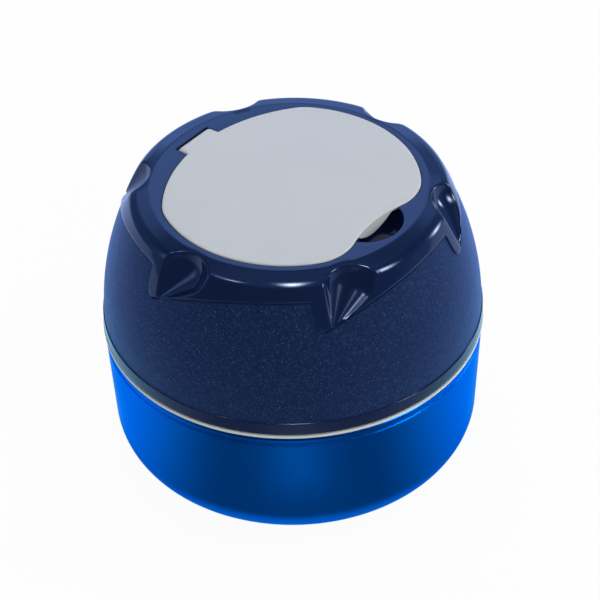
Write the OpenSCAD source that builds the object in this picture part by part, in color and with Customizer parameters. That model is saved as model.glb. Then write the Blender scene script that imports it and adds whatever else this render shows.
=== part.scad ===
// Insulated lunch pot with a screw lid and a flip-up compartment cover.
// Millimetres, +Z up, standing on z = 0, cover hinge towards +Y, finger scoop towards -Y.

/* [Overall size] */
// Outside radius at the seam between bowl and lid
seam_r = 67; // [60:0.5:74]
// Height of the seam above the table
bowl_h = 52.5; // [48:0.1:60]
// Height of the cover above the seam
lid_h = 55.6; // [53:0.1:59]

/* [Bowl] */
// Radius lost between the bowl rim and its foot
bowl_draft = 1.6; // [1:0.1:5]
// Radius of the rounded bottom corner
bowl_corner = 15.2; // [9:0.1:18]
// Wall of the painted outer shell
shell_t = 1.0; // [0.8:0.1:1.6]
// Radius of the rolled bead under the rim
bead_r = 0.8; // [0.5:0.1:1.2]
// Drop of the bead below the seam
bead_drop = 3.7; // [3:0.1:6]
// Wall of the steel liner
liner_t = 0.8; // [0.6:0.1:1.2]
// Thickness of the foot ring under the bowl
foot_t = 1.0; // [0.6:0.1:2]
// Radius of the foam filling hole in the base
plug_r = 8; // [5:0.5:12]

/* [Collar] */
// Thickness of the visible collar flange at the seam
collar_t = 1; // [0.8:0.1:2]
// Wall of the threaded neck
neck_t = 2.5; // [2:0.1:3]
// Height of the neck above the seam
neck_h = 10.5; // [9:0.1:11.5]

/* [Lid] */
// Height of the glossy band at the foot of the dome
band_h = 4.9; // [3.5:0.1:6]
// Radius lost by the dome between the seam and the ring's shoulder
dome_drop = 12.1; // [11:0.1:13]
// Wall of the dome
dome_t = 2; // [1.5:0.1:2.4]
// Depth of the compartment under the cover
cup_depth = 16.3; // [12:0.1:18]
// Radius of the four lid screws
screw_r = 1.45; // [1:0.05:1.8]

/* [Grip ring] */
// Distance of the lobe tips inside the seam radius
tip_inset = 6.7; // [6.2:0.1:7.2]
// Distance of the ring's edge between the lobes inside the seam radius
root_inset = 11.2; // [10.8:0.1:11.7]
// Radius of a finger recess at its round end
pocket_r = 10.8; // [9.5:0.1:11.2]
// Step of the ring above the dome
proud = 0.6; // [0.3:0.1:1]

/* [Cover] */
// Distance of the cover edge inside the seam radius
cover_inset = 21.8; // [21.5:0.1:23]
// Thickness of the cover plate
cover_t = 2.4; // [1.8:0.1:2.8]
// Width of the hinge tab
tab_w = 16; // [12:0.5:20]
// Radius of the hinge pin
pin_r = 0.9; // [0.6:0.05:1.2]
// Radius of the concave finger scoop in the cover edge
scoop_r = 45; // [38:0.5:55]

/* [Fits] */
// Gap between pieces that move past each other
gap = 0.4; // [0.3:0.05:0.5]
// Gap between pieces fitted into one another
fit = 0.15; // [0.1:0.01:0.2]
// Radial clearance of the hinge pin
pin_fit = 0.05; // [0.03:0.01:0.08]

/* [Hidden] */
seam = bowl_h;
// Bowl, collar and neck
bowl_top_r = seam_r - 0.4;
bowl_foot_r = bowl_top_r - bowl_draft;
bowl_top = seam - collar_t/2;
floor_z = foot_t + shell_t;
foot_w = 8;
neck_r = seam_r - 8.5;
neck_bore = neck_r - neck_t;
spigot_h = 6.2;
spigot_r = bowl_top_r - shell_t - bowl_draft*spigot_h/(bowl_top - foot_t - bowl_corner) - fit;
spigot_t = 2;
liner_r = neck_bore - gap;
liner_foot_r = liner_r - bowl_draft;
liner_corner = bowl_corner + 1;
liner_z = 8.5;
neck_top = seam + neck_h;
lip_r = neck_r - 0.3;
seal_r = neck_bore + neck_t*0.3;
seal_w = neck_t*0.45;
seal_h = 1.2;
// Stopper hung inside the lid
stop_seal_h = 2;
stop_z = neck_top + liner_t + gap;
stop_r = neck_r + 0.8;
stop_plug_r = liner_r - liner_t - 1.2;
stop_t = 1.5;
stop_floor = stop_z - 6.6;
stop_top = stop_z + stop_seal_h + 2*stop_t;
keeper_h = 1.2;
keeper_z = stop_z + stop_seal_h - keeper_h - gap;
// Lid shell
skirt_r = neck_r + 1.5;
skirt_t = 1.6;
band_z = seam + collar_t/2 + gap;
band_top = band_z + band_h;
band_r = seam_r - 0.4;
ledge_h = 1.7;
ledge_r = band_r - 3.6;
plate_t = 1.8;
plate_z = stop_top + 1.8;
plate_top = plate_z + plate_t;
dome_r = seam_r - 0.78;
dome_mid = 3.26;
shoulder_h = lid_h - 4.3 - dome_mid;
dome_arc = (shoulder_h*shoulder_h + dome_drop*dome_drop)/(2*dome_drop);
// Grip ring and deck
tip_r = seam_r - tip_inset;
root_r = seam_r - root_inset;
cover_r = seam_r - cover_inset;
ring_top = seam + lid_h - 0.6;
crease_r = cover_r + 1.4;
crease_slope = 12;
nose_r = 5;
side_slope = 64;
nose_start = crease_r + 4.65;
ring_t = 2.4;
ring_drop = 20.8;
ring_low = seam + lid_h - ring_drop;
lobe_n = 6;
lobe_step = 360/lobe_n;
lobe_start = -13.3;
lobe_span = 52;
lobe_shift = (tip_r*tip_r - root_r*root_r)/(2*(root_r - tip_r*cos(lobe_span)));
lobe_r = root_r + lobe_shift;
lobe_c = -lobe_shift*[cos(lobe_start + lobe_span), sin(lobe_start + lobe_span)];
lobe_round = 3;
deck = ring_top + 0.6 - cover_t - gap;
deck_base = deck - 5.2;
// Teardrop finger recess: round end and tip
pocket_c = [tip_r - 2.1, 0, seam + lid_h + 0.2];
pocket_tip_r = 1.6;
pocket_drop = 14.9;
pocket_sweep = 7.8;
pocket_t = [tip_r - 0.5, -pocket_sweep, seam + lid_h - pocket_drop];
pocket_wall = 1.6;
pocket_v = pocket_t - pocket_c;
pocket_len = norm(pocket_v);
pocket_lean = acos(pocket_v[2]/pocket_len);
pocket_turn = atan2(pocket_v[1], pocket_v[0]);
// Compartment under the cover
cup_r = cover_r - 11.4;
cup_t = 1.5;
cup_floor = deck - 1.1 - cup_depth;
cup_base = cup_floor - cup_t;
post_r = 3;
post_d = cup_r*0.77;
head_r = 2*screw_r;
head_h = 1.6;
screw_len = 8;
foam_top = cup_base + 6;
// Flip cover and hinge
cover_top = ring_top + 0.6;
cover_z = cover_top - cover_t;
knuckle_r = 2.7;
hinge_y = cover_r - 4.7;
hinge_z = cover_top - knuckle_r;
tab_end = hinge_y + knuckle_r;
back_r = cover_r + 10.2;
back_y = back_r - cover_r + 6.55;
scoop_in = cover_r - 9;
scoop_y = scoop_in + scoop_r;
scoop_round = 6;
back_round = 16;
apron_w = 19;
apron_t = 1.4;
apron_h = 2.6;
edge_t = 0.9;
edge_in = 0.7;
rim_r = cup_r - cup_t - gap;
rim_t = 1.5;
rim_h = 2.8;
dish_r = 12.4;
dish_y = cover_r - dish_r;
dish_round = 3;
dish_floor = deck_base + 1.8;
// Colours
paint_blue = [0.02, 0.30, 0.62];
navy = [0.09, 0.14, 0.27];
navy_gloss = [0.07, 0.11, 0.24];
cream = [0.68, 0.72, 0.71];
grey = [0.74, 0.77, 0.78];
steel = [0.75, 0.76, 0.78];
foam = [0.90, 0.88, 0.80];
rubber = [0.80, 0.80, 0.80];

$fn = 96;

// Points along an arc, and a list turned round
function arc(c, r, a0, a1, n) = [for (i = [0:n]) let (a = a0 + (a1 - a0)*i/n) c + r*[cos(a), sin(a)]];
function turned(p) = [for (i = [len(p) - 1:-1:0]) p[i]];
// Side of a rounded vessel from the middle of its floor to its rim
function vessel(top, top_z, foot, corner, z, t) = concat([[0, z + t]],
    arc([foot - corner, z + corner], corner - t, -90, 0, 9), [[top - t, top_z]]);
// Dome radius at a height above the seam, and points along the dome
function dome_at(z, t) = dome_r - dome_arc + sqrt(pow(dome_arc + t, 2) - pow(z - dome_mid, 2));
function dome_side(z0, z1, t) = [for (i = [0:9]) let (z = z0 + (z1 - z0)*i/9) [dome_at(z - seam, t), z]];

module spun(p) {
    rotate_extrude() polygon(p);
}

module tube(r0, r1, z0, z1) {
    spun([[r0, z0], [r1, z0], [r1, z1], [r0, z1]]);
}

module around(n) {
    for (k = [0:n - 1]) rotate(k*360/n) children();
}

// Bowl

module outer_bowl() {
    wall = vessel(bowl_top_r, bowl_top, bowl_foot_r, bowl_corner, foot_t, 0);
    inside = vessel(bowl_top_r, bowl_top, bowl_foot_r, bowl_corner, foot_t, shell_t);
    color(paint_blue) difference() {
        union() {
            spun(concat(wall, turned(inside)));
            translate([0, 0, seam - bead_drop])
                rotate_extrude() translate([bowl_top_r - bead_r*0.6, 0]) circle(r = bead_r, $fn = 24);
        }
        translate([0, 0, foot_t - 1]) cylinder(r = plug_r, h = shell_t + 2);
    }
}

module inner_bowl() {
    wall = vessel(liner_r, neck_top, liner_foot_r, liner_corner, liner_z, 0);
    inside = vessel(liner_r, neck_top + liner_t, liner_foot_r, liner_corner, liner_z, liner_t);
    lip = [[lip_r, neck_top], [lip_r, neck_top + liner_t]];
    color(steel) spun(concat(wall, lip, turned(inside)));
}

module bowl_foam() {
    top = bowl_top - spigot_h - gap;
    side = vessel(spigot_r + shell_t, top, bowl_foot_r, bowl_corner, foot_t, shell_t + fit);
    bed = [for (p = side) [p[0], max(p[1], floor_z)]];
    liner = vessel(liner_r, neck_top, liner_foot_r, liner_corner, liner_z, -fit);
    color(foam) difference() {
        spun(concat(bed, [[0, top]]));
        spun(concat(liner, [[0, neck_top]]));
    }
}

module neck_collar() {
    color(cream) difference() {
        union() {
            tube(neck_bore, seam_r - 0.1, seam - collar_t/2, seam + collar_t/2);
            tube(neck_bore, neck_r, seam - collar_t/2, neck_top);
            tube(spigot_r - spigot_t, spigot_r, bowl_top - spigot_h, seam);
        }
        tube(seal_r - fit, seal_r + seal_w + fit, neck_top - seal_h, neck_top + 1);
    }
}

module collar_seal() {
    color(rubber) tube(seal_r, seal_r + seal_w, neck_top - seal_h, neck_top);
}

module base_plug() {
    color(navy) union() {
        translate([0, 0, foot_t*0.4]) cylinder(r = plug_r + 2, h = foot_t*0.6);
        translate([0, 0, foot_t*0.8]) cylinder(r = plug_r - fit, h = foot_t*0.2 + shell_t);
    }
}

module foot_ring() {
    outer = bowl_foot_r - bowl_corner - 2;
    color(rubber) tube(outer - foot_w, outer, 0, foot_t);
}

// Stopper

module stopper_pan() {
    shelf = stop_z + stop_seal_h;
    color(grey) difference() {
        union() {
            translate([0, 0, shelf]) cylinder(r = stop_r, h = stop_t);
            translate([0, 0, stop_floor]) cylinder(r = stop_plug_r, h = shelf - stop_floor + stop_t/2);
        }
        translate([0, 0, stop_floor + stop_t]) cylinder(r = stop_plug_r - stop_t, h = shelf);
    }
}

module stopper_foam() {
    base = stop_floor + stop_t;
    color(foam) translate([0, 0, base])
        cylinder(r = stop_plug_r - stop_t - fit, h = stop_top - stop_t - base);
}

module stopper_cap() {
    color(grey) translate([0, 0, stop_top - stop_t]) cylinder(r = stop_r, h = stop_t);
}

module stopper_gasket() {
    color(rubber) tube(stop_plug_r + fit, neck_r - 0.5, stop_z, stop_z + stop_seal_h);
}

// Lid shell

module lid_band() {
    color(navy_gloss) union() {
        tube(band_r - 2.4, band_r, band_z, band_top);
        tube(ledge_r, band_r - 1, band_z, band_z + ledge_h);
    }
}

module lid_dome() {
    top = seam + lid_h - 6.8;
    color(navy) difference() {
        spun(concat(dome_side(band_top, top, 0), turned(dome_side(band_top, top, -dome_t))));
        translate([0, 0, seam]) linear_extrude(lid_h) lobes(fit);
    }
}

module lid_liner() {
    flange_z = band_z + ledge_h;
    color(grey) difference() {
        union() {
            tube(skirt_r, skirt_r + skirt_t, flange_z, plate_top);
            tube(skirt_r, band_r - 2.4 - fit, flange_z, flange_z + 1.4);
            translate([0, 0, plate_z]) cylinder(r = skirt_r + skirt_t, h = plate_t);
            around(4) translate([post_d, 0, plate_z]) cylinder(r = post_r, h = cup_base - plate_z);
        }
        around(4) translate([post_d, 0, cup_floor - screw_len - 1]) cylinder(r = screw_r + pin_fit, h = screw_len);
        tube(skirt_r - 1, skirt_r + skirt_t*0.4 + fit, keeper_z, keeper_z + keeper_h);
    }
}

module stopper_keeper() {
    color(navy) tube(neck_r + 0.1, skirt_r + skirt_t*0.4, keeper_z, keeper_z + keeper_h);
}

module lid_foam() {
    side = dome_side(plate_top, foam_top, -dome_t - gap);
    color(foam) difference() {
        spun(concat([[0, plate_top]], side, [[0, foam_top]]));
        translate([0, 0, cup_base]) cylinder(r = cup_r + fit, h = foam_top);
        around(4) translate([post_d, 0, plate_z]) cylinder(r = post_r + gap, h = foam_top);
    }
}

module compartment_cup() {
    color(navy) difference() {
        union() {
            translate([0, 0, cup_base]) cylinder(r = cup_r, h = deck - 1.1 - cup_base);
            translate([0, 0, deck_base - cup_t]) cylinder(r = cover_r, h = cup_t);
        }
        translate([0, 0, cup_floor]) cylinder(r = cup_r - cup_t, h = lid_h);
        around(4) translate([post_d, 0, cup_base - 1]) cylinder(r = screw_r + fit, h = cup_t + 2);
    }
}

module lid_screws() {
    color(steel) around(4) translate([post_d, 0, cup_floor]) union() {
        cylinder(r = head_r, h = head_h);
        translate([0, 0, -screw_len]) cylinder(r = screw_r, h = screw_len + head_h/2);
    }
}

// Grip ring

// Point at distance a from the axis and b from a point y in front of it
function meet(a, b, y) = let (v = (b*b - a*a - y*y)/(2*y)) [sqrt(a*a - v*v), v];

// Corner to cut away outside a rounding of radius r about c, between directions u and v
module relief(c, u, v, r, grow) {
    difference() {
        polygon([c, c + 3*r*u, c + 3*r*v]);
        translate(c) circle(r = r + grow);
    }
}

module wedge(a0, a1, r) {
    polygon(concat([[0, 0]], arc([0, 0], r*1.4, a0, a1, 2)));
}

module lobes(grow) {
    lead = asin(grow/tip_r);
    edge = [cos(lobe_start), sin(lobe_start)];
    side = [-edge[1], edge[0]];
    w = lobe_round*side - lobe_c;
    run = sqrt(pow(edge*w, 2) - w*w + pow(lobe_r - lobe_round, 2)) - edge*w;
    c = run*edge + lobe_round*side;
    around(lobe_n) difference() {
        intersection() {
            wedge(lobe_start - lead, lobe_start + lobe_step + 0.01, tip_r);
            translate(lobe_c) circle(r = lobe_r + grow);
        }
        relief(c, -side, (c - lobe_c)/norm(c - lobe_c), lobe_round, grow);
    }
    circle(r = root_r - 1);
}

// Outside of the ring from the crease to below the lobe tips
function ring_side() = let (
        start = [nose_start, ring_top - (nose_start - crease_r)*tan(crease_slope)],
        c = start - nose_r*[sin(crease_slope), cos(crease_slope)],
        nose = arc(c, nose_r, 90 - crease_slope, 90 - side_slope, 6))
    concat([[crease_r, ring_top]], nose, dome_side(nose[6][1] - 0.5, ring_low, proud));

module teardrop(wall) {
    r0 = pocket_r + wall;
    r1 = pocket_tip_r + wall;
    translate(pocket_c) union() {
        sphere(r = r0);
        rotate([0, pocket_lean, pocket_turn]) cylinder(r1 = r0, r2 = r1, h = pocket_len);
        translate(pocket_v) sphere(r = r1*1.08);
    }
}

module finger_dish() {
    top = ring_top + 1;
    translate([0, -dish_y, 0]) union() {
        translate([0, 0, dish_floor]) cylinder(r = dish_r - dish_round, h = top - dish_floor);
        tube(0, dish_r, dish_floor + dish_round, top);
        translate([0, 0, dish_floor + dish_round])
            rotate_extrude() translate([dish_r - dish_round, 0]) circle(r = dish_round, $fn = 32);
    }
}

module grip_ring() {
    low = ring_low;
    out = concat([[0, ring_top]], ring_side(), [[0, low]]);
    under = concat([[0, low - 1]], dome_side(low - 1, deck_base, proud - ring_t), [[0, deck_base]]);
    color(navy_gloss) difference() {
        intersection() {
            spun(out);
            translate([0, 0, low - 2]) linear_extrude(lid_h) lobes(0);
        }
        difference() {
            spun(under);
            around(lobe_n) teardrop(pocket_wall);
        }
        around(lobe_n) teardrop(0);
        translate([0, 0, deck]) linear_extrude(lid_h) cover_plan(gap, tab_end);
        translate([0, 0, low - 2]) cylinder(r = cup_r + fit, h = lid_h);
        translate([-tab_w/2 - gap, cup_r, hinge_z - knuckle_r - gap])
            cube([tab_w + 2*gap, tab_end + gap - cup_r, lid_h]);
        hinge_bore(tab_w/2 + 3);
        finger_dish();
    }
}

// Cover and hinge

module hinge_bore(half) {
    translate([-half, hinge_y, hinge_z]) rotate([0, 90, 0]) cylinder(r = pin_r + pin_fit, h = 2*half);
}

module hinge_pin() {
    half = tab_w/2 + 3;
    color(steel) translate([-half, hinge_y, hinge_z]) rotate([0, 90, 0]) cylinder(r = pin_r, h = 2*half);
}

module cover_plan(grow, reach) {
    scoop_c = meet(cover_r - scoop_round, scoop_r + scoop_round, scoop_y);
    back_c = meet(cover_r - back_round, back_r - back_round, back_y);
    difference() {
        union() {
            intersection() {
                circle(r = cover_r + grow);
                translate([0, -back_y]) circle(r = back_r + grow);
            }
            translate([-tab_w/2 - grow, 0]) square([tab_w + 2*grow, reach + grow]);
        }
        translate([0, -scoop_y]) circle(r = scoop_r - grow);
        for (m = [0, 1]) mirror([m, 0]) {
            relief(scoop_c, scoop_c/norm(scoop_c), ([0, -scoop_y] - scoop_c)/(scoop_r + scoop_round),
                scoop_round, grow);
            relief(back_c, back_c/norm(back_c), (back_c + [0, back_y])/(back_r - back_round),
                back_round, grow);
        }
    }
}

module flip_cover() {
    color(grey) difference() {
        union() {
            translate([0, 0, cover_top - edge_t]) linear_extrude(edge_t) cover_plan(0, hinge_y);
            translate([0, 0, cover_z]) linear_extrude(cover_t - edge_t/2) cover_plan(-edge_in, hinge_y);
            translate([-tab_w/2, hinge_y, hinge_z]) rotate([0, 90, 0]) cylinder(r = knuckle_r, h = tab_w);
            tube(rim_r - rim_t, rim_r, cover_z - rim_h, cover_z + cover_t/2);
            intersection() {
                translate([0, -scoop_y, 0]) tube(scoop_r, scoop_r + apron_t, cover_z - apron_h, cover_z + cover_t/2);
                translate([-apron_w/2, -cover_r, cover_z - apron_h]) cube([apron_w, cover_r, apron_h + cover_t/2]);
            }
        }
        hinge_bore(tab_w);
    }
}

module cover_seal() {
    color(rubber) tube(rim_r + fit, cup_r + fit, cover_z - 1.1, cover_z);
}

outer_bowl();
inner_bowl();
bowl_foam();
neck_collar();
collar_seal();
base_plug();
foot_ring();
stopper_pan();
stopper_foam();
stopper_cap();
stopper_gasket();
lid_band();
lid_dome();
lid_liner();
stopper_keeper();
lid_foam();
compartment_cup();
lid_screws();
grip_ring();
hinge_pin();
flip_cover();
cover_seal();
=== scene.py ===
# The looks of an insulated lunch pot: a lacquered steel bowl under a screw lid with a speckled dome,
# a glossy grip ring with six finger recesses and a pale cover that flips up on a pin.
import math

import bmesh
import bpy
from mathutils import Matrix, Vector


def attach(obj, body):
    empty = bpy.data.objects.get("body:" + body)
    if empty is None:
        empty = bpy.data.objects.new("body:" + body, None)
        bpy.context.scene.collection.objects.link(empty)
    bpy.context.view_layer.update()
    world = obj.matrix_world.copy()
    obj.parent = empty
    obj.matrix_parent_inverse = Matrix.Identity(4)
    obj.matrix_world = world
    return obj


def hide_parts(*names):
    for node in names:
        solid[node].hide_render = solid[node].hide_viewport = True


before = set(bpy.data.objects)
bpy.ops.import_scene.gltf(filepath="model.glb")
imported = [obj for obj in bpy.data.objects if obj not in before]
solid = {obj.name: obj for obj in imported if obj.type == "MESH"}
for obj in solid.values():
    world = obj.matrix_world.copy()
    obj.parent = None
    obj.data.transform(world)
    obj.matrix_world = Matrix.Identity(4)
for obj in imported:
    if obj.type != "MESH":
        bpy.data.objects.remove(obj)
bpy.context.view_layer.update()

# Foot ring
# A soft silicone ring stuck under the bowl, so that the pot doesn't slide or mark the table.
# Cast flat, so its skin is dull and slightly grainy.


def linear(r, g, b):
    """A colour picked in 0-255 screen values, as the shader wants it."""
    shares = (r / 255, g / 255, b / 255)
    return tuple(v / 12.92 if v <= 0.04045 else ((v + 0.055) / 1.055) ** 2.4 for v in shares) + (1,)


def put(tree, kind, sockets, **settings):
    """One shader node; a socket takes a plain value or another node's output."""
    added = tree.nodes.new(kind)
    for key, value in settings.items():
        setattr(added, key, value)
    for key, value in sockets.items():
        if isinstance(value, bpy.types.NodeSocket):
            tree.links.new(value, added.inputs[key])
        else:
            added.inputs[key].default_value = value
    return added


def between(tree, share, first, second):
    """A colour that goes from first to second with share."""
    return put(tree, "ShaderNodeMix", {0: share, 6: first, 7: second}, data_type="RGBA").outputs[2]


def new_stuff(name):
    """A new material, with its node tree and its shader."""
    stuff = bpy.data.materials.new(name)
    stuff.use_nodes = True
    return stuff, stuff.node_tree, stuff.node_tree.nodes["Principled BSDF"]


def tone(tree, shader, pattern, deep, pale):
    """Lets a pattern carry the colour from deep to pale."""
    tree.links.new(between(tree, pattern, deep, pale), shader.inputs["Base Color"])


def gloss(tree, shader, pattern, sleek, dull):
    """Lets a pattern carry the roughness from sleek to dull."""
    reach = {"From Min": 0.3, "From Max": 0.7, "To Min": sleek, "To Max": dull}
    even = put(tree, "ShaderNodeMapRange", {"Value": pattern, **reach})
    tree.links.new(even.outputs["Result"], shader.inputs["Roughness"])


def relief(tree, shader, pattern, strength, depth):
    """Lets a pattern raise the surface, by a depth in metres."""
    bump = put(tree, "ShaderNodeBump", {"Height": pattern, "Strength": strength, "Distance": depth})
    tree.links.new(bump.outputs["Normal"], shader.inputs["Normal"])


mould_skin = bpy.data.node_groups.new("mould_skin", "ShaderNodeTree")
mould_skin.interface.new_socket("Grain", in_out="INPUT", socket_type="NodeSocketFloat")
for label in ("Tone", "Gloss", "Height"):
    mould_skin.interface.new_socket(label, in_out="OUTPUT", socket_type="NodeSocketFloat")
skin_in = mould_skin.nodes.new("NodeGroupInput")
skin_out = mould_skin.nodes.new("NodeGroupOutput")
skin_place = mould_skin.nodes.new("ShaderNodeTexCoord").outputs["Object"]
skin_patterns = {"Tone": (42, 3, 0.55), "Gloss": (260, 4, 0.6), "Height": (skin_in.outputs["Grain"], 2, 0.5)}
for label, (scale, detail, rough) in skin_patterns.items():
    sockets = {"Vector": skin_place, "Scale": scale, "Detail": detail, "Roughness": rough}
    pattern = put(mould_skin, "ShaderNodeTexNoise", sockets)
    mould_skin.links.new(pattern.outputs["Fac"], skin_out.inputs[label])


def skin_of(tree, grain):
    """The outputs of the mould's skin, placed in a material with its own grain."""
    skin = tree.nodes.new("ShaderNodeGroup")
    skin.node_tree = mould_skin
    skin.inputs["Grain"].default_value = grain
    return skin.outputs


def moulded(name, deep, pale, sleek, dull, grain, strength):
    """A moulded plastic or rubber: two close tones, uneven gloss and the fine skin of its mould."""
    stuff, tree, shader = new_stuff(name)
    skin = skin_of(tree, grain)
    tone(tree, shader, skin["Tone"], deep, pale)
    gloss(tree, shader, skin["Gloss"], sleek, dull)
    relief(tree, shader, skin["Height"], strength, 0.0001)
    return stuff


def coat(stuff, *node_names):
    """Gives CAD nodes that stay in view their material."""
    for node_name in node_names:
        slots = solid[node_name].data.materials
        slots.clear()
        slots.append(stuff)


silicone = moulded("silicone", linear(196, 198, 197), linear(208, 209, 207), 0.5, 0.65, 3200, 0.35)
coat(silicone, "foot_ring")

# Base plug
# A navy plastic plug pressed into the hole through which the bowl was filled with foam.
# Moulded in one piece and left as it comes from the tool.

plug_plastic = moulded("plug_plastic", linear(24, 35, 62), linear(31, 44, 75), 0.32, 0.48, 2600, 0.3)
coat(plug_plastic, "base_plug")

# Outer bowl
# Deep-drawn steel with a rounded bottom corner and a bead rolled in under the rim.
# Finished in a see-through blue lacquer, so the steel shines through it and its edges flare.

mm = 0.001
pot_axis = (0, 0, 1)


def bend(r, z, radius, start, end, count):
    """Points along an arc of a profile, angles in degrees."""
    turns = [math.radians(start + (end - start) * i / count) for i in range(count + 1)]
    return [(r + radius * math.cos(a), z + radius * math.sin(a)) for a in turns]


def spin_round(bm, points, centre, axis, steps):
    """Spins a closed run of points, in millimetres, once round an axis; a run along the pot's axis stays open."""
    ring = [bm.verts.new([c * mm for c in p]) for p in points]
    rim = [bm.edges.new((ring[i - 1], ring[i])) for i in range(len(ring)) if points[i - 1][0] or points[i][0]]
    bmesh.ops.spin(bm, geom=ring + rim, cent=[c * mm for c in centre], axis=axis, dvec=(0, 0, 0),
                   angle=math.tau, steps=steps, use_merge=True)


def lathe(profile, steps):
    """A closed profile of (radius, height) in millimetres, spun once round the pot's axis."""
    bm = bmesh.new()
    spin_round(bm, [(r, 0, z) for r, z in profile], (0, 0, 0), pot_axis, steps)
    bmesh.ops.remove_doubles(bm, verts=bm.verts, dist=1e-7)
    bmesh.ops.recalc_face_normals(bm, faces=bm.faces)
    return bm


def set_down(bm, name, stuff, body, slot, *stands_for, crisp=40):
    """Makes the finished piece an object, smooth but for edges sharper than crisp degrees."""
    mesh = bpy.data.meshes.new(name)
    bm.to_mesh(mesh)
    bm.free()
    mesh.shade_smooth()
    mesh.set_sharp_from_angle(angle=math.radians(crisp))
    mesh.materials.append(stuff)
    piece = bpy.data.objects.new(name, mesh)
    bpy.context.scene.collection.objects.link(piece)
    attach(piece, body)
    if stands_for:
        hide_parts(*stands_for)
    return piece


blue_lacquer, tree, shader = new_stuff("blue_lacquer")
shader.inputs["Metallic"].default_value = 1
shader.inputs["Specular Tint"].default_value = (0.0, 0.55, 1.0, 1)
place = tree.nodes.new("ShaderNodeTexCoord").outputs["Object"]
flake = put(tree, "ShaderNodeTexNoise", {"Vector": place, "Scale": 2400, "Detail": 2, "Roughness": 0.7})
cloud = put(tree, "ShaderNodeTexNoise", {"Vector": place, "Scale": 60, "Detail": 3})
drawn = put(tree, "ShaderNodeMapping", {"Vector": place, "Scale": (40, 40, 2200)})
lines = put(tree, "ShaderNodeTexNoise", {"Vector": drawn.outputs["Vector"], "Scale": 1, "Detail": 3})
flaked = put(tree, "ShaderNodeMapRange", {"Value": flake.outputs["Fac"], "From Min": 0.3, "From Max": 0.7})
tone(tree, shader, flaked.outputs["Result"], (0.0004, 0.182, 0.63, 1), (0.0006, 0.22, 0.75, 1))
gloss(tree, shader, cloud.outputs["Fac"], 0.27, 0.34)
relief(tree, shader, lines.outputs["Fac"], 0.1, 0.0001)

bowl_side = [(8, 1.0), (44, 1.0)] + bend(49.8, 16.2, 15.2, -90, 0, 24)
bowl_side += [(65.57, 29.0), (66.15, 42.0), (66.36, 47.3)]
bowl_side += bend(65.98, 47.9, 0.42, 0, 62, 5) + bend(66.41, 48.95, 0.3, 236, 124, 5)
bowl_side += bend(65.96, 49.75, 0.52, -58, 0, 5) + [(66.49, 50.2)]
bowl_side += bend(65.39, 50.4, 1.1, 0, 80, 7) + [(65.52, 52.0), (65.4, 52.0)]
bowl_side += [(65.4, 45.0), (64.0, 16.2)] + bend(49.8, 16.2, 14.2, -4, -90, 18) + [(8, 2.0)]
set_down(lathe(bowl_side, 256), "bowl_shell", blue_lacquer, "bowl", "painted_steel", "outer_bowl", crisp=50)

# Bowl filling and liner
# Rigid foam poured in between shell and liner, and a drawn stainless steel liner with a rolled lip.
# The liner is brushed round on the lathe, which leaves fine rings in its shine.

foam = moulded("rigid_foam", linear(222, 214, 188), linear(233, 227, 206), 0.8, 0.95, 1500, 0.9)
coat(foam, "bowl_foam")

brushed_steel, tree, shader = new_stuff("brushed_steel")
shader.inputs["Metallic"].default_value = 1
place = tree.nodes.new("ShaderNodeTexCoord").outputs["Object"]
brushed = put(tree, "ShaderNodeMapping", {"Vector": place, "Scale": (60, 60, 3000)})
hair = put(tree, "ShaderNodeTexNoise", {"Vector": brushed.outputs["Vector"], "Scale": 1, "Detail": 4})
tone(tree, shader, hair.outputs["Fac"], (0.5, 0.51, 0.52, 1), (0.66, 0.67, 0.68, 1))
gloss(tree, shader, hair.outputs["Fac"], 0.22, 0.38)
relief(tree, shader, hair.outputs["Fac"], 0.15, 0.0001)
coat(brushed_steel, "inner_bowl")

# Neck collar
# A cream plastic collar that joins shell and liner; the edge of its flange is the pale line at the seam.
# Moulded with a three-start thread, each start a ridge that runs a little over half a turn up the neck.

cream_plastic = moulded("cream_plastic", linear(190, 195, 189), linear(201, 205, 197), 0.3, 0.42, 2800, 0.2)
collar_side = [(56, 52.0), (56, 63.0), (56.6, 63.0), (56.6, 61.8), (58.03, 61.8), (58.03, 63.0)]
collar_side += [(58.35, 63.0), (58.5, 62.85), (58.5, 53.4)] + bend(58.9, 53.4, 0.4, 180, 270, 4) + [(66.4, 53.0)]
collar_side += bend(66.55, 52.65, 0.35, 90, 0, 4) + bend(66.55, 52.35, 0.35, 0, -90, 4)
collar_side += [(65.17, 52.0), (65.17, 46.05), (64.9, 45.8), (63.4, 45.8), (63.17, 46.05), (63.17, 52.0)]
collar = lathe(collar_side, 256)

thread_starts, thread_lead = 3, 12.0


def wind(bm, bar, foot, first, turn, steps):
    """Winds the section of a thread up round the pot's axis, from an angle and over a turn in radians."""
    c, s = math.cos(first), math.sin(first)
    end = bm.faces.new([bm.verts.new((r * mm * c, r * mm * s, (foot + z) * mm)) for r, z in bar])
    climb = thread_lead * mm * turn / math.tau / steps
    bmesh.ops.spin(bm, geom=[end], cent=(0, 0, 0), axis=pot_axis, dvec=(0, 0, climb), angle=turn, steps=steps)


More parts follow.
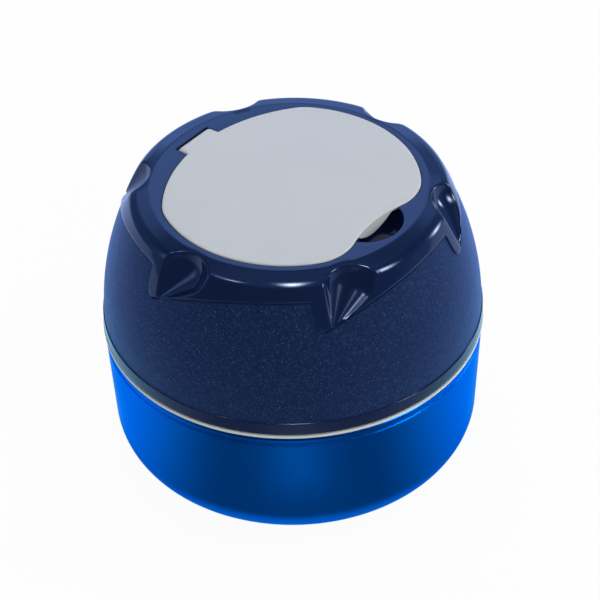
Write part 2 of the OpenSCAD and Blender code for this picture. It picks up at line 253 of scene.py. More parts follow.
ridge = [(58.3, -0.8), (58.3, 0.8), (59.35, 0.35), (59.35, -0.35)]
ridge_turn, ridge_fade = math.radians(205), 0.25
for start in range(thread_starts):
    first = math.tau * start / thread_starts
    wind(collar, ridge, 55.1, first, ridge_turn, 90)
    for corner in [v for v in collar.verts if v.co.xy.length > 59 * mm and 53.8 * mm < v.co.z < 62.8 * mm]:
        run = (math.atan2(corner.co.y, corner.co.x) - first) % math.tau
        fade = min(1, run / ridge_fade, (ridge_turn - run) / ridge_fade) if run <= ridge_turn else 1
        if fade < 1:
            reach = (58.4 + 0.95 * max(0, fade)) * mm
            corner.co.xy = corner.co.xy.normalized() * min(corner.co.xy.length, reach)
bmesh.ops.recalc_face_normals(collar, faces=collar.faces)
set_down(collar, "threaded_collar", cream_plastic, "bowl", "cream_plastic", "neck_collar")
coat(silicone, "collar_seal")

# Stopper
# The insulated plug that shuts the bowl: a grey pan and cap with foam between them, and a soft gasket.
# It hangs in the lid and isn't seen until the lid is off.

grey_plastic = moulded("grey_plastic", linear(188, 196, 198), linear(199, 206, 206), 0.36, 0.5, 2600, 0.25)
coat(grey_plastic, "stopper_pan", "stopper_cap")
coat(foam, "stopper_foam")
coat(silicone, "stopper_gasket")

# Lid band
# A glossy navy band that ends the dome at the seam, moulded on with a small round at both edges.
# The same polished plastic is used for the grip ring.

gloss_navy, tree, shader = new_stuff("gloss_navy")
shader.inputs["IOR"].default_value = 1.5
skin = skin_of(tree, 700)
tone(tree, shader, skin["Tone"], (0.0038, 0.0098, 0.040, 1), (0.0050, 0.0124, 0.049, 1))
gloss(tree, shader, skin["Gloss"], 0.05, 0.09)
relief(tree, shader, skin["Height"], 0.02, 0.0002)

dome_foot = 58.3
band_side = [(63.0, 53.4), (66.1, 53.4)] + bend(66.3, 53.7, 0.3, -90, 0, 4) + [(66.6, 55.2), (66.6, 57.2)]
band_side += bend(66.25, 57.95, 0.35, 0, 90, 5) + [(65.0, dome_foot), (64.2, dome_foot), (64.2, 55.1), (63.0, 55.1)]
set_down(lathe(band_side, 256), "gloss_band", gloss_navy, "lid", "gloss_navy", "lid_band")

# Dome
# The lid's outer shell, moulded in navy plastic with pale blue glitter in it and a fine matt texture.
# Its upper edge is cut to the saw-tooth of the grip ring, which laps it.

seam = 52.5
dome_r, dome_mid, dome_arc, dome_wall = 66.22, 3.26, 101.4, 2
lobe_start, lobe_low, tip_r, root_r, lobe_round = -13.8, 52, 61.0, 56.15, 3.0


def dome_radius(z, proud):
    """Radius at a height, on a skin that stands proud of the dome."""
    return dome_r - dome_arc + math.sqrt((dome_arc + proud) ** 2 - (z - seam - dome_mid) ** 2)


def dome_height(r, proud):
    """Height at a radius, on a skin that stands proud of the dome."""
    return seam + dome_mid + math.sqrt(max(0, (dome_arc + proud) ** 2 - (r - dome_r + dome_arc) ** 2))


def facing(angle):
    """The level direction at an angle in degrees."""
    return Vector((math.cos(math.radians(angle)), math.sin(math.radians(angle))))


def angle_of(way):
    """The angle in degrees at which a level vector lies."""
    return math.degrees(math.atan2(way.y, way.x))


# Each lobe has a steep side along lobe_edge, a round tip and a long arc that sweeps back to the root.
lobe_shift = (tip_r ** 2 - root_r ** 2) / (2 * (root_r - tip_r * math.cos(math.radians(lobe_low))))
lobe_r = root_r + lobe_shift
lobe_c = -lobe_shift * facing(lobe_start + lobe_low)
lobe_edge = facing(lobe_start)
lobe_side = Vector((-lobe_edge.y, lobe_edge.x))
aside = lobe_round * lobe_side - lobe_c
steep_back = lobe_edge.dot(aside)
steep_run = math.sqrt(steep_back ** 2 - aside.length_squared + (lobe_r - lobe_round) ** 2) - steep_back
tip_c = steep_run * lobe_edge + lobe_round * lobe_side
tip_span = angle_of(tip_c + lobe_round * (tip_c - lobe_c).normalized()) - lobe_start


def lobe_reach(angle):
    """Distance of the ring's swept edge from the axis, at an angle in degrees."""
    past = (angle - lobe_start) % 60
    centre, radius = (tip_c, lobe_round) if past < tip_span else (lobe_c, lobe_r)
    along = facing(past + lobe_start).dot(centre)
    return along + math.sqrt(max(0, radius ** 2 - centre.length_squared + along ** 2))


speckled_navy, tree, shader = new_stuff("speckled_navy")
shader.inputs["Specular IOR Level"].default_value = 0.1
shader.inputs["Specular Tint"].default_value = (0.36, 0.6, 1.0, 1)
shader.inputs["Sheen Weight"].default_value = 0.51
shader.inputs["Sheen Roughness"].default_value = 0.45
shader.inputs["Sheen Tint"].default_value = (0.12, 0.32, 1.0, 1)
place = tree.nodes.new("ShaderNodeTexCoord").outputs["Object"]
skin = skin_of(tree, 1700)
ground = between(tree, skin["Tone"], (0.0036, 0.0088, 0.033, 1), (0.0046, 0.0110, 0.040, 1))
dust = put(tree, "ShaderNodeTexNoise", {"Vector": place, "Scale": 1500, "Detail": 2, "Roughness": 0.6})
dusty = {"Value": dust.outputs["Fac"], "From Min": 0.32, "From Max": 0.68, "To Max": 0.5}
bloom = put(tree, "ShaderNodeMapRange", dusty)
shade = between(tree, bloom.outputs["Result"], ground, (0.0135, 0.029, 0.090, 1))
fine_glitter = (1250, 0.3, 0.5, 0.2, (0.022, 0.041, 0.105, 1))
bright_glitter = (1600, 0.75, 0.32, 0.16, (0.075, 0.12, 0.26, 1))
for size, least, near, far, spark in (fine_glitter, bright_glitter):
    cells = put(tree, "ShaderNodeTexVoronoi", {"Vector": place, "Scale": size, "Randomness": 1})
    chance = put(tree, "ShaderNodeSeparateColor", {"Color": cells.outputs["Color"]})
    picked = put(tree, "ShaderNodeMapRange", {"Value": chance.outputs["Red"], "From Min": least, "From Max": 1.0})
    grainy = put(tree, "ShaderNodeMapRange", {"Value": cells.outputs["Distance"], "From Min": near, "From Max": far})
    both = {0: picked.outputs["Result"], 1: grainy.outputs["Result"]}
    speck = put(tree, "ShaderNodeMath", both, operation="MULTIPLY")
    shade = between(tree, speck.outputs["Value"], shade, spark)
tree.links.new(shade, shader.inputs["Base Color"])
gloss(tree, shader, skin["Gloss"], 0.36, 0.46)
relief(tree, shader, skin["Height"], 0.45, 0.00015)


def ring_up(bm, loops):
    """Draws a circle of edges from loop to loop of points, and returns the edges of its two ends."""
    column, row = bm.verts.layers.int.new("column"), bm.verts.layers.int.new("row")
    first = bmesh.ops.create_circle(bm, segments=len(loops[0]), radius=1)["verts"]
    for i, v in enumerate(first):
        v[column] = i
        v.co = Vector(loops[0][i]) * mm
    start = edges = list({e for v in first for e in v.link_edges})
    for k, loop in enumerate(loops[1:], 1):
        drawn = bmesh.ops.extrude_edge_only(bm, edges=edges)["geom"]
        for v in (g for g in drawn if isinstance(g, bmesh.types.BMVert)):
            v[row] = k
            v.co = Vector(loop[v[column]]) * mm
        edges = [g for g in drawn if isinstance(g, bmesh.types.BMEdge) and g.is_boundary]
    return start, edges


def round_the_axis(r, angle, z):
    """A point at a radius, an angle in degrees and a height."""
    return r * math.cos(math.radians(angle)), r * math.sin(math.radians(angle)), z


dome_edge = [(i * 0.5, dome_height(lobe_reach(i * 0.5 - 0.7) - 0.35, 0)) for i in range(720)]
dome_loops = []
for proud, shares in ((0, [i / 16 for i in range(17)]), (-dome_wall, [1, 0.6, 0.3, 0])):
    for share in shares:
        rise = [(angle, dome_foot + share * (top - dome_foot)) for angle, top in dome_edge]
        dome_loops.append([round_the_axis(dome_radius(z, proud), angle, z) for angle, z in rise])
dome = bmesh.new()
foot, inside = ring_up(dome, dome_loops)
bmesh.ops.bridge_loops(dome, edges=foot + inside)
bmesh.ops.recalc_face_normals(dome, faces=dome.faces)
set_down(dome, "speckled_dome", speckled_navy, "lid", "speckled_navy", "lid_dome", crisp=50)

# Lid liner
# The inner shell of the lid, a grey moulding with three short thread lugs inside its skirt.
# A navy keeper ring snaps into it to carry the stopper, and foam fills the room above it.

coat(grey_plastic, "lid_liner")
coat(plug_plastic, "stopper_keeper")
coat(foam, "lid_foam")
lugs = bmesh.new()
lug = [(60.1, -0.7), (60.1, 0.7), (59.5, 0.3), (59.5, -0.3)]
for start in range(thread_starts):
    wind(lugs, lug, 57.77, math.tau * start / thread_starts + math.radians(20), math.radians(50), 24)
bmesh.ops.recalc_face_normals(lugs, faces=lugs.faces)
set_down(lugs, "thread_lugs", grey_plastic, "lid", "grey_plastic")

# Compartment cup
# A small round compartment in the top of the lid, moulded in satin navy with a rounded floor.
# Its flange lies under the grip ring and four screws hold it down.

cup_floor = 87.9
cup_plastic = moulded("cup_plastic", linear(26, 38, 68), linear(33, 47, 80), 0.28, 0.42, 2400, 0.25)
cup_side = [(0, 86.4), (33.3, 86.4)] + bend(33.3, 86.9, 0.5, -90, 0, 3)
cup_side += [(33.8, 98.6), (45.2, 98.6), (45.2, 100.1), (33.8, 100.1), (33.8, 103.9)]
cup_side += bend(33.05, 103.7, 0.5, 30, 150, 5) + [(32.3, 103.4), (32.3, 90.4)]
cup_side += bend(29.8, 90.4, 2.5, 0, -90, 8) + [(0, cup_floor)]
set_down(lathe(cup_side, 128), "lid_cup", cup_plastic, "lid", "speckled_navy", "compartment_cup")

# Lid screws
# Four pan-head steel screws with a cross recess, driven through the cup's floor into the liner's posts.
# Cold-headed from wire and zinc bright.

bright_steel, tree, shader = new_stuff("bright_steel")
shader.inputs["Metallic"].default_value = 1
place = tree.nodes.new("ShaderNodeTexCoord").outputs["Object"]
stain = put(tree, "ShaderNodeTexNoise", {"Vector": place, "Scale": 900, "Detail": 4})
tone(tree, shader, stain.outputs["Fac"], (0.52, 0.53, 0.55, 1), (0.7, 0.71, 0.72, 1))
gloss(tree, shader, stain.outputs["Fac"], 0.2, 0.36)
coat(bright_steel, "hinge_pin")

head_r, head_h, head_drop, cross_depth = 2.9, 1.6, 0.75, 0.8
shank_r, shank_end, screw_circle = 1.45, 79.9, 26.02
shank_steps = ((head_r, cup_floor), (shank_r, cup_floor), (shank_r, shank_end + 0.4), (shank_r - 0.25, shank_end))
screws = bmesh.new()
for quarter in range(4):
    head = bmesh.ops.create_grid(screws, x_segments=14, y_segments=14, size=1)["verts"]
    cross = []
    for face in {f for v in head for f in v.link_faces}:
        x, y, _ = (abs(c) for c in face.calc_center_median())
        if max(x, y) < 0.6 and min(x, y) < 0.12:
            cross.append(face)
    for v in head:
        x, y = v.co.xy
        far = max(abs(x), abs(y))
        rounder = far / max(1e-9, math.hypot(x, y)) - 1
        v.co.xy = Vector((x, y)) * (1 + rounder * min(1, far / 0.7) ** 2)
        crown = cup_floor + head_h - head_drop * v.co.xy.length_squared
        v.co = Vector((head_r * v.co.x, head_r * v.co.y, crown)) * mm
    under = [e for e in {e for v in head for e in v.link_edges} if e.is_boundary]
    shank = []
    for reach, z in shank_steps:
        drawn = bmesh.ops.extrude_edge_only(screws, edges=under)["geom"]
        under = [g for g in drawn if isinstance(g, bmesh.types.BMEdge) and g.is_boundary]
        for v in (g for g in drawn if isinstance(g, bmesh.types.BMVert)):
            v.co = (v.co.xy.normalized() * reach * mm).to_3d()
            v.co.z = z * mm
            shank.append(v)
    bmesh.ops.contextual_create(screws, geom=under)
    pit = bmesh.ops.extrude_face_region(screws, geom=cross)["geom"]
    sunk = [g for g in pit if isinstance(g, bmesh.types.BMVert)]
    bmesh.ops.translate(screws, verts=sunk, vec=(0, 0, -cross_depth * mm))
    bmesh.ops.delete(screws, geom=cross, context="FACES_ONLY")
    whole = [v for v in {*head, *shank, *sunk} if v.is_valid]
    bmesh.ops.translate(screws, verts=whole, vec=(screw_circle * mm * facing(90 * quarter)).to_3d())
bmesh.ops.recalc_face_normals(screws, faces=screws.faces)
set_down(screws, "cross_screws", bright_steel, "lid", "bare_steel", "lid_screws", crisp=30)

# Cover
# A pale grey flip cover with a soft rounded edge, a hinge tab at its back and a finger scoop in front.
# Moulded with a ring that drops into the cup, a short wall under the scoop and a knuckle for the pin.

cover_r, cover_top = 44.6, 108.1
scoop_r, scoop_y, scoop_round = 45.0, 80.8, 17.0
back_r, back_y, back_round = 55.6, 16.9, 16.0
pin_y, pin_z, tab_half = 40.5, 105.4, 8.0


def crossing(a, b, y):
    """Where a circle of radius a round the pot's axis meets one of radius b round a point y in front of it."""
    v = (b * b - a * a - y * y) / (2 * y)
    return Vector((math.sqrt(a * a - v * v), v))


scoop_c = crossing(cover_r - scoop_round, scoop_r + scoop_round, scoop_y)
back_c = crossing(cover_r - back_round, back_r - back_round, back_y)
scoop_way = (Vector((0, -scoop_y)) - scoop_c).normalized()
back_way = (back_c + Vector((0, back_y))).normalized()
rounded = [(scoop_c, scoop_c.normalized(), scoop_way, scoop_round), (back_c, back_c.normalized(), back_way, back_round)]


def on_cover(x, y, grow, reach, tab_corner):
    """Whether a point of the top view lies on the cover, grown all round by grow."""
    at = Vector((abs(x), y))
    if at.x <= tab_half + grow and 0 <= y <= reach + grow:
        corner = at - Vector((tab_half - tab_corner + grow, reach - tab_corner + grow))
        return corner.x < 0 or corner.y < 0 or corner.length < tab_corner
    if at.length > cover_r + grow or math.hypot(x, y + back_y) > back_r + grow:
        return False
    if math.hypot(x, y + scoop_y) < scoop_r - grow:
        return False
    for c, u, v, r in rounded:
        d = at - c
        cross = u.x * v.y - u.y * v.x
        a, b = (d.x * v.y - d.y * v.x) / cross, (u.x * d.y - u.y * d.x) / cross
        if a > 0 and b > 0 and a + b < 3 * r and d.length > r + grow:
            return False
    return True


def cover_reach(angle, grow, reach=pin_y, tab_corner=1.2):
    """Distance of the cover's edge from the axis, at an angle in degrees."""
    cx, cy = math.cos(math.radians(angle)), math.sin(math.radians(angle))
    low, high = 20.0, 50.0
    for _ in range(26):
        mid = (low + high) / 2
        low, high = (mid, high) if on_cover(mid * cx, mid * cy, grow, reach, tab_corner) else (low, mid)
    return low


cover = bmesh.new()
edge_steps = [(-3.5, 105.7), (-1.25, 105.7), (-1.05, 105.8), (-1.0, 106.0), (-1.0, 107.0), (-0.3, 107.15)]
edge_steps += [(-0.06, 107.27), (0, 107.45), (0, 107.6), (-0.06, 107.79), (-0.2, 107.94), (-0.4, 108.04)]
edge_steps += [(-0.7, 108.09), (-1.1, cover_top)]
spots = [i * 0.4 for i in range(900)]
cover_loops = [[round_the_axis(cover_reach(a, grow), a, z) for a in spots] for grow, z in edge_steps]
under, over = ring_up(cover, cover_loops)
bmesh.ops.contextual_create(cover, geom=over)
bmesh.ops.contextual_create(cover, geom=under)

tongue = [(30.4, 103.1), (30.6, 102.9), (31.7, 102.9), (31.9, 103.1), (31.9, 106.0), (30.4, 106.0)]
spin_round(cover, [(r, 0, z) for r, z in tongue], (0, 0, 0), pot_axis, 160)

apron_half, apron_top = 9.6, 107.5
apron = [(45.15, 102.9), (45.35, 102.7), (46.35, 102.7), (46.55, 102.9), (46.55, apron_top), (45.15, apron_top)]
swing = math.asin(apron_half / 45.85)
before = set(cover.verts)
ring = [(-r * math.sin(swing) * mm, (r * math.cos(swing) - scoop_y) * mm, z * mm) for r, z in apron]
end = cover.faces.new([cover.verts.new(p) for p in ring])
bmesh.ops.spin(cover, geom=[end], cent=(0, -scoop_y * mm, 0), axis=(0, 0, -1), dvec=(0, 0, 0),
               angle=2 * swing, steps=32)
for v in [v for v in cover.verts if v not in before]:
    v.co.z += (apron_top * mm - v.co.z) * min(0.985, (v.co.x / (apron_half * mm)) ** 2)

knuckle = [(-tab_half, 0.95), (-tab_half, 1.75), (-7.91, 2.21), (-7.65, 2.6), (-7.26, 2.86), (-6.8, 2.95)]
knuckle += [(-x, r) for x, r in reversed(knuckle)]
before = set(cover.verts)
spin_round(cover, [(x, pin_y, pin_z + r) for x, r in knuckle], (0, pin_y, pin_z), (1, 0, 0), 64)
for v in [v for v in cover.verts if v not in before]:
    v.co.z = min(v.co.z, (cover_top - 0.02) * mm)
bmesh.ops.recalc_face_normals(cover, faces=cover.faces)

pale_cover = moulded("pale_cover", linear(188, 190, 191), linear(196, 198, 197), 0.34, 0.46, 2200, 0.12)
pale_cover.node_tree.nodes["Principled BSDF"].inputs["Specular IOR Level"].default_value = 0.3
set_down(cover, "pale_flip_cover", pale_cover, "cover", "grey_plastic", "flip_cover", crisp=45)
coat(silicone, "cover_seal")

# Grip ring
# The polished navy ring that is turned to open the lid: flat top, soft shoulder, a skirt in six swept lobes
# and a teardrop finger recess in each, with the cover's bed, hinge well and finger dish moulded in.

ring_top, ring_proud, crease_r, flat_r = 107.5, 0.6, 47.2, 46.6
deck, well_floor, dish_floor, bed_r = 105.3, 102.3, 101.9, 34.2
lobes, per_lobe, slope_rows = 6, 180, 62


def on_lobe(p, k):
    """A point of the first lobe's edge, turned to the lobe k."""
    c, s = math.cos(math.radians(60 * k)), math.sin(math.radians(60 * k))
    return Vector((p.x * c - p.y * s, p.x * s + p.y * c))


# The edge of one lobe, first as drawn and then in even steps with its corners eased.
root_end = lobe_reach(lobe_start + 59.999) * lobe_edge
tip_from, tip_to = angle_of(-lobe_side), angle_of(tip_c - lobe_c)
tip_to += 360 if tip_to < tip_from else 0
sweep = [root_end.lerp(steep_run * lobe_edge, i / 40) for i in range(40)]
sweep += [tip_c + lobe_round * facing(tip_from + (tip_to - tip_from) * i / 40) for i in range(40)]
for i in range(600):
    angle = lobe_start + tip_span + (60 - tip_span) * i / 600
    sweep.append(lobe_reach(angle) * facing(angle))
sweep.append(on_lobe(sweep[0], 1))
lengths = [0]
for a, b in zip(sweep, sweep[1:]):
    lengths.append(lengths[-1] + (b - a).length)
hem = []
for j in range(per_lobe):
    want = lengths[-1] * j / per_lobe
    i = max(k for k in range(len(sweep) - 1) if lengths[k] <= want)
    hem.append(sweep[i].lerp(sweep[i + 1], (want - lengths[i]) / max(1e-9, lengths[i + 1] - lengths[i])))
hem = [on_lobe(p, k) for k in range(lobes) for p in hem]
columns = len(hem)
for _ in range(6):
    hem = [(hem[i - 1] + 2 * hem[i] + hem[(i + 1) % columns]) / 4 for i in range(columns)]
outward = []
for i in range(columns):
    tangent = (hem[(i + 1) % columns] - hem[i - 1]).normalized()
    outward.append(Vector((tangent.y, -tangent.x)))
top_angle = [lobe_start - 1.8 + 360 * i / columns for i in range(columns)]

# The shoulder in section, from the flat top over the nose and down the dome.
slope = bend(crease_r - 0.525, ring_top - 5, 5.0, 90, 78, 8) + bend(50.23, 101.75, 5.0, 78, 28.3, 24)
slope += [(54.75 + 0.1 * i, dome_height(54.75 + 0.1 * i, ring_proud)) for i in range(75)]
walked = [0]
for (r0, z0), (r1, z1) in zip(slope, slope[1:]):
    walked.append(walked[-1] + math.hypot(r1 - r0, z1 - z0))


def along_slope(length):
    """The radius and height at a length walked down the slope."""
    i = max(k for k in range(len(slope) - 1) if walked[k] <= length)
    t = (length - walked[i]) / (walked[i + 1] - walked[i])
    (r0, z0), (r1, z1) = slope[i], slope[i + 1]
    return r0 + t * (r1 - r0), z0 + t * (z1 - z0)


def slope_length(r):
    """The length to walk down the slope to a radius."""
    i = max(k for k in range(len(slope) - 1) if slope[k][0] <= r)
    return walked[i] + (walked[i + 1] - walked[i]) * (r - slope[i][0]) / (slope[i + 1][0] - slope[i][0])


recess_c, recess_r = Vector((59.0, 0, 108.3)), 10.8
recess_tip, recess_tip_r = Vector((59.75, -7.55, 93.7)), 1.35
recess_axis = (recess_tip - recess_c).normalized()
recess_len = (recess_tip - recess_c).length
recess_lean = (recess_r - recess_tip_r) / recess_len
recess_flat = math.sqrt(1 - recess_lean ** 2)
press = Vector((-0.6, 0, -0.8))


def in_recess(p):
    """Distance outside the finger recess, a ball that narrows smoothly to its tip; negative inside it."""
    d = p - recess_c
    h = d.dot(recess_axis)
    wide = (d - h * recess_axis).length
    flank = h - wide * recess_lean / recess_flat
    if flank <= 0:
        return d.length - recess_r
    if flank >= recess_len:
        return (p - recess_tip).length - recess_tip_r
    return wide * recess_flat + h * recess_lean - recess_r


def pressed(x, y, z):
    """A point of the plain ring, pressed to the floor of its finger recess, and whether a rim is near."""
    k = round(math.degrees(math.atan2(y, x)) / 60)
    c, s = math.cos(math.radians(60 * k)), math.sin(math.radians(60 * k))
    p = Vector((x * c + y * s, -x * s + y * c, z))
    depth = -in_recess(p)
    rim_near = abs(depth) < 0.9
    if depth < -2:
        return (x, y, z), False
    if depth > 0:
        low, high = 0.0, 16.0
        for _ in range(18):
            mid = (low + high) / 2
            low, high = (mid, high) if in_recess(p + mid * press) < 0 else (low, mid)
        depth = low
    p += press * 0.5 * (depth + math.sqrt(depth * depth + 0.16))
    return (p.x * c - p.y * s, p.x * s + p.y * c, p.z), rim_near


def dish_reach(angle):
    """Distance of the finger dish's outer side from the axis, or 0 beside it."""
    d = math.radians(angle + 90)
    inside = 12.4 ** 2 - (32.8 * math.sin(d)) ** 2
    return 32.8 * math.cos(d) + math.sqrt(inside) if inside > 0 and math.cos(d) > 0 else 0


# The bed at each angle: where its wall stands, its floor, the round at the wall's foot and the floor inside.
bed = []
for angle in top_angle:
    edge, dish = cover_reach(angle, 0.18, 43.4, 0.3), dish_reach(angle)
    x, y, _ = round_the_axis(edge, angle, 0)
    floor = well_floor if abs(x) < 8.45 and y > 0 else deck
    inner_floor = dish_floor if dish > bed_r else floor
    bed.append((dish, dish_floor, 3.0, inner_floor) if dish > edge else (edge, floor, 0.3, inner_floor))
loops = [[round_the_axis(bed_r, a, 100.2) for a in top_angle]]
loops.append([round_the_axis(bed_r, a, b[3]) for a, b in zip(top_angle, bed)])
for tilt in (0, 22, 45, 68, 90):
    c, s = math.cos(math.radians(tilt)), math.sin(math.radians(tilt))
    loops.append([round_the_axis(r - e + e * s, a, z + e - e * c) for a, (r, z, e, _) in zip(top_angle, bed)])
for step, z in ((0, 107.2), (0.02, 107.35), (0.07, 107.44), (0.15, 107.49), (0.24, ring_top)):
    loops.append([round_the_axis(min(flat_r - 0.3, b[0] + step), a, z) for a, b in zip(top_angle, bed)])
lip = [min(flat_r - 0.3, b[0] + 0.24) for b in bed]
loops.append([round_the_axis((r + flat_r) / 2, a, ring_top) for a, r in zip(top_angle, lip)])
loops.append([round_the_axis(flat_r, a, ring_top) for a in top_angle])

soft_rim = set()
for row in range(slope_rows + 1):
    share = row / slope_rows
    loop = []
    for i in range(columns):
        end = hem[i] - 0.35 * outward[i]
        r, z = along_slope(0.08 + share * (slope_length(end.length) - 0.08))
        turn = (angle_of(end) - top_angle[i] + 180) % 360 - 180
        at, rim_near = pressed(*round_the_axis(r, top_angle[i] + turn * share, z))
        loop.append(at)
        if rim_near and row < slope_rows - 2:
            soft_rim.add((len(loops), i))
    loops.append(loop)
for inset, drop in ((0.12, 0.06), (0.0, 0.3), (0.0, 0.75), (1.2, 2.0)):
    loop = []
    for i in range(columns):
        at = hem[i] - inset * outward[i]
        r, a = at.length, angle_of(at)
        z = dome_height(r, ring_proud)
        rise = Vector((r - dome_r + dome_arc, z - seam - dome_mid)) / (dome_arc + ring_proud)
        on_top = Vector(pressed(*round_the_axis(r, a, z))[0])
        loop.append(on_top - drop * Vector(round_the_axis(rise.x, a, rise.y)))
    loops.append(loop)

grip = bmesh.new()
inner, outer = ring_up(grip, loops)
column, row = grip.verts.layers.int["column"], grip.verts.layers.int["row"]
rim = [v for v in grip.verts if (v[row], v[column]) in soft_rim]
for _ in range(3):
    bmesh.ops.smooth_vert(grip, verts=rim, factor=0.5, use_axis_x=True, use_axis_y=True, use_axis_z=True)
bmesh.ops.bridge_loops(grip, edges=inner + outer)
bmesh.ops.recalc_face_normals(grip, faces=grip.faces)
set_down(grip, "lobed_grip_ring", gloss_navy, "lid", "gloss_navy", "grip_ring", crisp=60)

# Studio
# A plain white floor that keeps a soft shadow, a white surround and soft lights behind, in front and at both sides.
# A glowing tent that is no lamp, seen only in reflections, is painted dark in front, blue behind and graded on the
# table as painted reflections; its soft windows are painted glints.


def seen_share(tree):
    """1 for rays from the camera, a reflection or through glass, which see white, and 0 for the rest."""
    path = tree.nodes.new("ShaderNodeLightPath").outputs
    seen = put(tree, "ShaderNodeMath", {0: path["Is Camera Ray"], 1: path["Is Glossy Ray"]}, operation="ADD")
    through = {0: seen.outputs["Value"], 1: path["Is Transmission Ray"]}
    return put(tree, "ShaderNodeMath", through, operation="ADD", use_clamp=True).outputs["Value"]


def stand_up(bm, name, stuff):
    """Makes a piece of the studio, which is no part of the pot."""
    sheet = bpy.data.meshes.new(name)
    bm.to_mesh(sheet)
    bm.free()
    sheet.materials.append(stuff)
    piece = bpy.data.objects.new(name, sheet)
    bpy.context.scene.collection.objects.link(piece)
    return piece


white_floor, tree, shader = new_stuff("white_floor")
tree.nodes.remove(shader)
share = put(tree, "ShaderNodeMath", {0: seen_share(tree), 1: 0.95}, operation="MULTIPLY")
matt = put(tree, "ShaderNodeBsdfDiffuse", {"Color": (0.8, 0.8, 0.8, 1)})
glow = put(tree, "ShaderNodeEmission", {"Color": (1, 1, 1, 1), "Strength": 1})
both = {0: share.outputs["Value"], 1: matt.outputs["BSDF"], 2: glow.outputs["Emission"]}
mixed = put(tree, "ShaderNodeMixShader", both)
tree.links.new(mixed.outputs["Shader"], tree.nodes["Material Output"].inputs["Surface"])
floor = bmesh.new()
bmesh.ops.create_circle(floor, cap_ends=True, segments=64, radius=6)
floor_piece = stand_up(floor, "studio_floor", white_floor)

world = bpy.data.worlds.new("studio_surround")
bpy.context.scene.world = world
world.use_nodes = True
tree = world.node_tree
air = between(tree, seen_share(tree), (0.5, 0.52, 0.55, 1), (1, 1, 1, 1))
tree.links.new(air, tree.nodes["Background"].inputs["Color"])
tree.nodes["Background"].inputs["Strength"].default_value = 1

middle = Vector((0, 0, 0.06))


def toward(azimuth, elevation):
    """The direction at an azimuth and an elevation in degrees."""
    a, e = math.radians(azimuth), math.radians(elevation)
    return Vector((math.cos(e) * math.cos(a), math.cos(e) * math.sin(a), math.sin(e)))


def lamp(name, azimuth, elevation, distance, wide, high, watts, tint):
    """A soft lamp that faces the pot and is kept out of its reflections."""
    light = bpy.data.lights.new(name, "AREA")
    light.shape = "RECTANGLE"
    light.size, light.size_y, light.energy, light.color = wide, high, watts, tint
    stand = bpy.data.objects.new(name, light)
    stand.location = middle + distance * toward(azimuth, elevation)
    stand.rotation_euler = (middle - stand.location).to_track_quat("-Z", "Y").to_euler()
    stand.visible_glossy = False
    bpy.context.scene.collection.objects.link(stand)


lamp("back_softbox", 40, 36, 1.5, 1.4, 0.7, 9.0, (1.0, 0.99, 0.97))
lamp("left_strip", 130, 20, 1.2, 0.3, 0.9, 2.2, (0.97, 0.99, 1.0))
lamp("right_strip", 310, 20, 1.2, 0.3, 0.9, 4.8, (0.97, 0.99, 1.0))
lamp("front_fill", 252, 28, 1.3, 1.0, 0.5, 6.0, (1, 1, 1))

# Each window of the tent is a painted glint, a soft bright spot seen only in reflections: azimuth, elevation, half
# width and half height in degrees, and its glow.
painted_glint_windows = ((220, 83, 3, 10, (26, 31, 44)), (287, 37, 5, 8, (16, 19, 27)), (329, 13, 4, 7, (13, 15.5, 22)),
           (134, 30, 8, 12, (0.7, 1.1, 2.4)), (140, 66, 8, 4, (1.4, 1.9, 3.4)), (152, 67, 2.5, 3, (9, 11, 15)))
front = 220


def ease(low, high, value):
    """Goes smoothly from 0 at low to 1 at high."""
    t = min(1, max(0, (value - low) / (high - low)))
    return t * t * (3 - 2 * t)


def table_glow(off, far):
    """The painted reflection on the table, at an angle off the front and a distance from the axis."""
    # Painted dark in front, with a painted bright patch straight ahead, painted bright at the pot's foot and under it,
    # and brighter towards the back.
    share = 0.2 + 0.97 * ease(29, 95, abs(off)) + 0.28 * math.exp(-(off / 13) ** 2) * ease(84, 94, far)
    share += ease(74, 62, far) * (0.85 - share) + ease(95, 150, abs(off)) * 0.3
    tint = Vector((0.56, 0.72, 1.0)).lerp(Vector((0.32, 0.7, 1.0)), ease(40, 80, abs(off)))
    return tint.lerp(Vector((0.42, 0.57, 1.05)), ease(130, 170, far)) * share


def tent_glow(x, y, z):
    """The tent's glow at a point in millimetres, which the pot shows as painted reflections and glints."""
    off = (math.degrees(math.atan2(y, x)) - front + 180) % 360 - 180
    if z < 1:
        return table_glow(off, math.hypot(x, y))
    out = Vector((x, y, z)).normalized()
    rise = math.degrees(math.asin(out.z))
    # Painted dark in front and bluer overhead, with a bright blue band behind crossed by darker bars, and the painted
    # glint windows on top.
    shade = Vector((0.1, 0.2, 0.5)).lerp(Vector((0.03, 0.04, 0.05)), ease(0.1, 0.45, out.dot(toward(front, 50))))
    shade = shade.lerp(Vector((0.14, 0.24, 0.6)), ease(52, 66, rise))
    bars = 1 - 0.75 * ease(22, 26, rise) * ease(35, 31, rise) - 0.35 * ease(22, 17, rise)
    lit = ease(42, 8, 180 - abs(off)) * ease(0, 9, rise) * ease(50, 43, rise) * bars
    shade = shade.lerp(Vector((0.5, 0.92, 2.3)), lit)
    for azimuth, elevation, wide, high, shine in painted_glint_windows:
        centre, side = toward(azimuth, elevation), facing(azimuth + 90).to_3d()
        across = out.dot(side) / math.sin(math.radians(wide))
        along = out.dot(centre.cross(side)) / math.sin(math.radians(high))
        if out.dot(centre) > 0:
            shade += Vector(shine) * math.exp(-across ** 2 - along ** 2)
    return shade


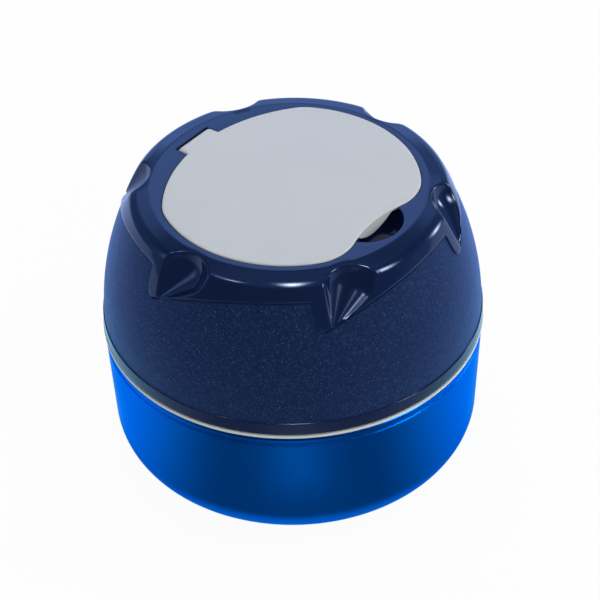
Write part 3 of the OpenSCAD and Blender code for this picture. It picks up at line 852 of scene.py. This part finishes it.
table_steps = (30, 50, 58, 62, 66, 70, 74, 78, 82, 86, 90, 94, 98, 104, 112, 122, 135, 150, 175, 210, 270, 400, 700, 1200)
tent_r = 2000
tent_loops = [[round_the_axis(far, a, 0.6) for a in range(0, 360, 2)] for far in (*table_steps, tent_r)]
for step in range(1, 60):
    r, _, z = (tent_r * c for c in toward(0, 1.5 * step))
    tent_loops.append([round_the_axis(r, a, z) for a in range(0, 360, 2)])
tent = bmesh.new()
table_end, top_end = ring_up(tent, tent_loops)
bmesh.ops.contextual_create(tent, geom=table_end)
bmesh.ops.contextual_create(tent, geom=top_end)
glow_layer = tent.verts.layers.float_color.new("glow")
for v in tent.verts:
    v[glow_layer] = tuple(tent_glow(*(v.co / mm))) + (1,)
# The tent glows with its painted colours, which the pot shows only as painted reflections and glints.
painted_reflection_tent, tree, shader = new_stuff("painted_reflection_tent")
tree.nodes.remove(shader)
glow = put(tree, "ShaderNodeAttribute", {}, attribute_name="glow")
shine = put(tree, "ShaderNodeEmission", {"Color": glow.outputs["Color"], "Strength": 1})
tree.links.new(shine.outputs["Emission"], tree.nodes["Material Output"].inputs["Surface"])
tent_piece = stand_up(tent, "studio_tent", painted_reflection_tent)
tent_piece.visible_camera = tent_piece.visible_diffuse = False
tent_piece.visible_shadow = tent_piece.visible_transmission = False

# Camera
# Where the photograph was taken from: about forty degrees above the table, with a long lens and a slight roll.
# The shift only frames the pot as the photograph does.

eye = bpy.data.cameras.new("photo_camera")
eye.lens, eye.sensor_width = 136.8, 36
eye.shift_x, eye.shift_y = 0.0116, 0.0109
eye.clip_start = 0.01
viewer = bpy.data.objects.new("photo_camera", eye)
aim = Vector((0, 0, 0.0533))
viewer.location = (-0.4732, -0.3971, 0.5679)
look = (aim - viewer.location).to_track_quat("-Z", "Y").to_matrix()
roll = math.radians(-1.888)
across, up = look.col[0].copy(), look.col[1].copy()
look.col[0] = across * math.cos(roll) + up * math.sin(roll)
look.col[1] = up * math.cos(roll) - across * math.sin(roll)
viewer.rotation_euler = look.to_euler()
bpy.context.scene.collection.objects.link(viewer)
bpy.context.scene.camera = viewer
bpy.context.scene.view_settings.view_transform = "Standard"
